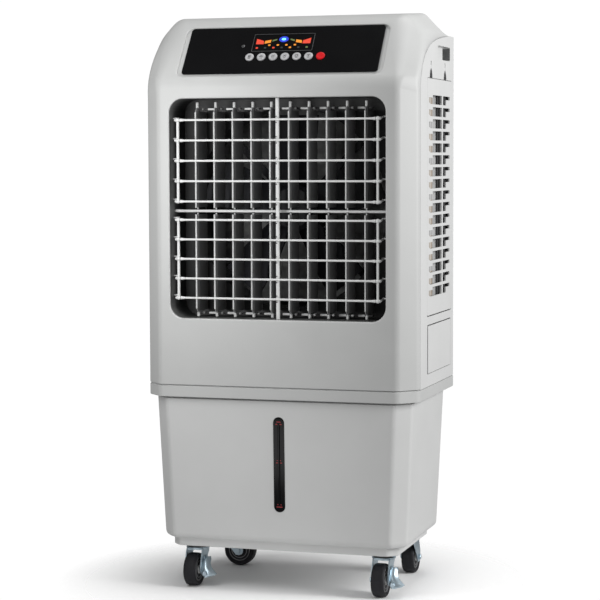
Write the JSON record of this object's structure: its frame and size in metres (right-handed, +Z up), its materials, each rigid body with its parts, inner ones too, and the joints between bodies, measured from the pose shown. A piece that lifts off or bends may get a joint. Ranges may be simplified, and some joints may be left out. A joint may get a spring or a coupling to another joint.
{
  "type": "evaporative cooler",
  "caption": "Upright portable evaporative air cooler on casters, with a louvred front outlet, honeycomb pads behind side and rear grilles, a fan and a water tank.",
  "frame": {"origin": "on the floor below the middle of the casing's bounding box", "axes": "+Z up, -Y out of the air outlet, +X to the right of a person facing the outlet"},
  "size_m": [0.586, 0.372, 1.2086],
  "materials": {
    "housing_grey": "satin moulded light grey",
    "side_grey": "satin moulded pale grey",
    "tank_grey": "satin moulded light grey",
    "panel_black": "glossy black acrylic",
    "dark_plastic": "dark grey moulded plastic",
    "vane_grey": "grey moulded plastic with pale edges",
    "guide_white": "off-white moulded plastic",
    "tray_white": "off-white moulded plastic",
    "motor_black": "black painted steel",
    "pump_black": "black moulded plastic",
    "pad_fibre": "corrugated cellulose honeycomb",
    "key_silver": "silver-painted keys",
    "key_red": "red keys",
    "zinc": "blue-bright zinc plating",
    "wheel_rubber": "black rubber tread"
  },
  "bodies": {
    "root": {"front_housing": "housing_grey", "rear_housing": "side_grey", "water_tank": "tank_grey", "control_panel": "panel_black", "level_window": "panel_black", "fan_shroud": "dark_plastic", "louvre_frame": "guide_white", "fan_motor": "motor_black", "left_pad_frame": "side_grey", "right_pad_frame": "side_grey", "rear_pad_frame": "side_grey", "left_pad": "pad_fibre", "right_pad": "pad_fibre", "rear_pad": "pad_fibre", "water_distributor": "tray_white", "water_pump": "pump_black"},
    "vane_01": {"vane_01": "vane_grey"},
    "vane_02": {"vane_02": "vane_grey"},
    "vane_03": {"vane_03": "vane_grey"},
    "vane_04": {"vane_04": "vane_grey"},
    "vane_05": {"vane_05": "vane_grey"},
    "vane_06": {"vane_06": "vane_grey"},
    "vane_07": {"vane_07": "vane_grey"},
    "vane_08": {"vane_08": "vane_grey"},
    "vane_09": {"vane_09": "vane_grey"},
    "vane_10": {"vane_10": "vane_grey"},
    "vane_link": {"vane_link": "guide_white"},
    "upper_bar_1": {"upper_bar_1": "guide_white"},
    "upper_bar_2": {"upper_bar_2": "guide_white"},
    "upper_bar_3": {"upper_bar_3": "guide_white"},
    "upper_bar_4": {"upper_bar_4": "guide_white"},
    "upper_bar_5": {"upper_bar_5": "guide_white"},
    "upper_rail_left": {"upper_rail_left": "guide_white"},
    "upper_rail_right": {"upper_rail_right": "guide_white"},
    "lower_bar_1": {"lower_bar_1": "guide_white"},
    "lower_bar_2": {"lower_bar_2": "guide_white"},
    "lower_bar_3": {"lower_bar_3": "guide_white"},
    "lower_bar_4": {"lower_bar_4": "guide_white"},
    "lower_bar_5": {"lower_bar_5": "guide_white"},
    "lower_rail_left": {"lower_rail_left": "guide_white"},
    "lower_rail_right": {"lower_rail_right": "guide_white"},
    "button_1": {"button_1": "key_silver"},
    "button_2": {"button_2": "key_silver"},
    "button_3": {"button_3": "key_silver"},
    "button_4": {"button_4": "key_silver"},
    "button_5": {"button_5": "key_silver"},
    "button_6": {"button_6": "key_silver"},
    "power_button": {"power_button": "key_red"},
    "fan": {"fan": "dark_plastic"},
    "filler_door": {"filler_door": "side_grey"},
    "front_left_fork": {"front_left_fork": "zinc"},
    "front_left_wheel": {"front_left_wheel": "wheel_rubber"},
    "front_left_brake_pedal": {"front_left_brake_pedal": "zinc"},
    "front_right_fork": {"front_right_fork": "zinc"},
    "front_right_wheel": {"front_right_wheel": "wheel_rubber"},
    "front_right_brake_pedal": {"front_right_brake_pedal": "zinc"},
    "rear_left_fork": {"rear_left_fork": "zinc"},
    "rear_left_wheel": {"rear_left_wheel": "wheel_rubber"},
    "rear_right_fork": {"rear_right_fork": "zinc"},
    "rear_right_wheel": {"rear_right_wheel": "wheel_rubber"}
  },
  "joints": [
    {"name": "vane_01_swing", "type": "hinge", "parent": "root", "child": "vane_01", "pos_m": [-0.18225, -0.147, 0.797], "axis": [0, 0, 1], "range_deg": [-35, 35]},
    {"name": "vane_02_swing", "type": "hinge", "parent": "root", "child": "vane_02", "pos_m": [-0.14175, -0.147, 0.797], "axis": [0, 0, 1], "range_deg": [-35, 35]},
    {"name": "vane_03_swing", "type": "hinge", "parent": "root", "child": "vane_03", "pos_m": [-0.10125, -0.147, 0.797], "axis": [0, 0, 1], "range_deg": [-35, 35]},
    {"name": "vane_04_swing", "type": "hinge", "parent": "root", "child": "vane_04", "pos_m": [-0.06075, -0.147, 0.797], "axis": [0, 0, 1], "range_deg": [-35, 35]},
    {"name": "vane_05_swing", "type": "hinge", "parent": "root", "child": "vane_05", "pos_m": [-0.02025, -0.147, 0.797], "axis": [0, 0, 1], "range_deg": [-35, 35]},
    {"name": "vane_06_swing", "type": "hinge", "parent": "root", "child": "vane_06", "pos_m": [0.02025, -0.147, 0.797], "axis": [0, 0, 1], "range_deg": [-35, 35]},
    {"name": "vane_07_swing", "type": "hinge", "parent": "root", "child": "vane_07", "pos_m": [0.06075, -0.147, 0.797], "axis": [0, 0, 1], "range_deg": [-35, 35]},
    {"name": "vane_08_swing", "type": "hinge", "parent": "root", "child": "vane_08", "pos_m": [0.10125, -0.147, 0.797], "axis": [0, 0, 1], "range_deg": [-35, 35]},
    {"name": "vane_09_swing", "type": "hinge", "parent": "root", "child": "vane_09", "pos_m": [0.14175, -0.147, 0.797], "axis": [0, 0, 1], "range_deg": [-35, 35]},
    {"name": "vane_10_swing", "type": "hinge", "parent": "root", "child": "vane_10", "pos_m": [0.18225, -0.147, 0.797], "axis": [0, 0, 1], "range_deg": [-35, 35]},
    {"name": "vane_link_pivot", "type": "hinge", "parent": "vane_01", "child": "vane_link", "pos_m": [-0.18225, -0.124, 1.0152], "axis": [0, 0, 1], "range_deg": [-35, 35]},
    {"name": "upper_bar_1_tilt", "type": "hinge", "parent": "root", "child": "upper_bar_1", "pos_m": [0, -0.159, 0.989], "axis": [1, 0, 0], "range_deg": [-15, 15]},
    {"name": "upper_bar_2_tilt", "type": "hinge", "parent": "root", "child": "upper_bar_2", "pos_m": [0, -0.159, 0.947], "axis": [1, 0, 0], "range_deg": [-15, 15]},
    {"name": "upper_bar_3_tilt", "type": "hinge", "parent": "root", "child": "upper_bar_3", "pos_m": [0, -0.159, 0.905], "axis": [1, 0, 0], "range_deg": [-15, 15]},
    {"name": "upper_bar_4_tilt", "type": "hinge", "parent": "root", "child": "upper_bar_4", "pos_m": [0, -0.159, 0.863], "axis": [1, 0, 0], "range_deg": [-15, 15]},
    {"name": "upper_bar_5_tilt", "type": "hinge", "parent": "root", "child": "upper_bar_5", "pos_m": [0, -0.159, 0.821], "axis": [1, 0, 0], "range_deg": [-15, 15]},
    {"name": "upper_rail_left_pivot", "type": "hinge", "parent": "upper_bar_1", "child": "upper_rail_left", "pos_m": [-0.214, -0.179, 0.985], "axis": [1, 0, 0], "range_deg": [-15, 15]},
    {"name": "upper_rail_right_pivot", "type": "hinge", "parent": "upper_bar_1", "child": "upper_rail_right", "pos_m": [0.214, -0.179, 0.985], "axis": [1, 0, 0], "range_deg": [-15, 15]},
    {"name": "lower_bar_1_tilt", "type": "hinge", "parent": "root", "child": "lower_bar_1", "pos_m": [0, -0.159, 0.783], "axis": [1, 0, 0], "range_deg": [-15, 15]},
    {"name": "lower_bar_2_tilt", "type": "hinge", "parent": "root", "child": "lower_bar_2", "pos_m": [0, -0.159, 0.7425], "axis": [1, 0, 0], "range_deg": [-15, 15]},
    {"name": "lower_bar_3_tilt", "type": "hinge", "parent": "root", "child": "lower_bar_3", "pos_m": [0, -0.159, 0.702], "axis": [1, 0, 0], "range_deg": [-15, 15]},
    {"name": "lower_bar_4_tilt", "type": "hinge", "parent": "root", "child": "lower_bar_4", "pos_m": [0, -0.159, 0.6615], "axis": [1, 0, 0], "range_deg": [-15, 15]},
    {"name": "lower_bar_5_tilt", "type": "hinge", "parent": "root", "child": "lower_bar_5", "pos_m": [0, -0.159, 0.621], "axis": [1, 0, 0], "range_deg": [-15, 15]},
    {"name": "lower_rail_left_pivot", "type": "hinge", "parent": "lower_bar_1", "child": "lower_rail_left", "pos_m": [-0.214, -0.179, 0.779], "axis": [1, 0, 0], "range_deg": [-15, 15]},
    {"name": "lower_rail_right_pivot", "type": "hinge", "parent": "lower_bar_1", "child": "lower_rail_right", "pos_m": [0.214, -0.179, 0.779], "axis": [1, 0, 0], "range_deg": [-15, 15]},
    {"name": "button_1_press", "type": "slide", "parent": "root", "child": "button_1", "axis": [0, 0.7973, -0.6036], "range_m": [0, 0.0012], "stiffness_N_per_m": 250},
    {"name": "button_2_press", "type": "slide", "parent": "root", "child": "button_2", "axis": [0, 0.7973, -0.6036], "range_m": [0, 0.0012], "stiffness_N_per_m": 250},
    {"name": "button_3_press", "type": "slide", "parent": "root", "child": "button_3", "axis": [0, 0.7973, -0.6036], "range_m": [0, 0.0012], "stiffness_N_per_m": 250},
    {"name": "button_4_press", "type": "slide", "parent": "root", "child": "button_4", "axis": [0, 0.7973, -0.6036], "range_m": [0, 0.0012], "stiffness_N_per_m": 250},
    {"name": "button_5_press", "type": "slide", "parent": "root", "child": "button_5", "axis": [0, 0.7973, -0.6036], "range_m": [0, 0.0012], "stiffness_N_per_m": 250},
    {"name": "button_6_press", "type": "slide", "parent": "root", "child": "button_6", "axis": [0, 0.7973, -0.6036], "range_m": [0, 0.0012], "stiffness_N_per_m": 250},
    {"name": "power_button_press", "type": "slide", "parent": "root", "child": "power_button", "axis": [0, 0.7973, -0.6036], "range_m": [0, 0.0012], "stiffness_N_per_m": 250},
    {"name": "fan_spin", "type": "hinge", "parent": "root", "child": "fan", "pos_m": [0, -0.057, 0.802], "axis": [0, 1, 0], "continuous": true},
    {"name": "filler_door_tip", "type": "hinge", "parent": "root", "child": "filler_door", "pos_m": [0.2915, 0.025, 0.4626], "axis": [0, 1, 0], "range_deg": [0, 40]},
    {"name": "front_left_swivel", "type": "hinge", "parent": "root", "child": "front_left_fork", "pos_m": [-0.205, -0.098, 0.084], "axis": [0, 0, 1], "continuous": true},
    {"name": "front_left_roll", "type": "hinge", "parent": "front_left_fork", "child": "front_left_wheel", "pos_m": [-0.205, -0.123, 0.035], "axis": [1, 0, 0], "continuous": true},
    {"name": "front_left_brake", "type": "hinge", "parent": "front_left_fork", "child": "front_left_brake_pedal", "pos_m": [-0.1859, -0.106, 0.056], "axis": [1, 0, 0], "range_deg": [-12, 12]},
    {"name": "front_right_swivel", "type": "hinge", "parent": "root", "child": "front_right_fork", "pos_m": [0.205, -0.098, 0.084], "axis": [0, 0, 1], "continuous": true},
    {"name": "front_right_roll", "type": "hinge", "parent": "front_right_fork", "child": "front_right_wheel", "pos_m": [0.205, -0.123, 0.035], "axis": [1, 0, 0], "continuous": true},
    {"name": "front_right_brake", "type": "hinge", "parent": "front_right_fork", "child": "front_right_brake_pedal", "pos_m": [0.2241, -0.106, 0.056], "axis": [1, 0, 0], "range_deg": [-12, 12]},
    {"name": "rear_left_swivel", "type": "hinge", "parent": "root", "child": "rear_left_fork", "pos_m": [-0.205, 0.11, 0.084], "axis": [0, 0, 1], "continuous": true},
    {"name": "rear_left_roll", "type": "hinge", "parent": "rear_left_fork", "child": "rear_left_wheel", "pos_m": [-0.18, 0.11, 0.035], "axis": [0, 1, 0], "continuous": true},
    {"name": "rear_right_swivel", "type": "hinge", "parent": "root", "child": "rear_right_fork", "pos_m": [0.205, 0.11, 0.084], "axis": [0, 0, 1], "continuous": true},
    {"name": "rear_right_roll", "type": "hinge", "parent": "rear_right_fork", "child": "rear_right_wheel", "pos_m": [0.205, 0.135, 0.035], "axis": [1, 0, 0], "continuous": true}
  ],
  "couplings": [
    {"joint": "vane_02_swing", "follows": "vane_01_swing", "ratio": 1},
    {"joint": "vane_03_swing", "follows": "vane_01_swing", "ratio": 1},
    {"joint": "vane_04_swing", "follows": "vane_01_swing", "ratio": 1},
    {"joint": "vane_05_swing", "follows": "vane_01_swing", "ratio": 1},
    {"joint": "vane_06_swing", "follows": "vane_01_swing", "ratio": 1},
    {"joint": "vane_07_swing", "follows": "vane_01_swing", "ratio": 1},
    {"joint": "vane_08_swing", "follows": "vane_01_swing", "ratio": 1},
    {"joint": "vane_09_swing", "follows": "vane_01_swing", "ratio": 1},
    {"joint": "vane_10_swing", "follows": "vane_01_swing", "ratio": 1},
    {"joint": "vane_link_pivot", "follows": "vane_01_swing", "ratio": -1},
    {"joint": "upper_bar_2_tilt", "follows": "upper_bar_1_tilt", "ratio": 1},
    {"joint": "upper_bar_3_tilt", "follows": "upper_bar_1_tilt", "ratio": 1},
    {"joint": "upper_bar_4_tilt", "follows": "upper_bar_1_tilt", "ratio": 1},
    {"joint": "upper_bar_5_tilt", "follows": "upper_bar_1_tilt", "ratio": 1},
    {"joint": "upper_rail_left_pivot", "follows": "upper_bar_1_tilt", "ratio": -1},
    {"joint": "upper_rail_right_pivot", "follows": "upper_bar_1_tilt", "ratio": -1},
    {"joint": "lower_bar_2_tilt", "follows": "lower_bar_1_tilt", "ratio": 1},
    {"joint": "lower_bar_3_tilt", "follows": "lower_bar_1_tilt", "ratio": 1},
    {"joint": "lower_bar_4_tilt", "follows": "lower_bar_1_tilt", "ratio": 1},
    {"joint": "lower_bar_5_tilt", "follows": "lower_bar_1_tilt", "ratio": 1},
    {"joint": "lower_rail_left_pivot", "follows": "lower_bar_1_tilt", "ratio": -1},
    {"joint": "lower_rail_right_pivot", "follows": "lower_bar_1_tilt", "ratio": -1}
  ]
}
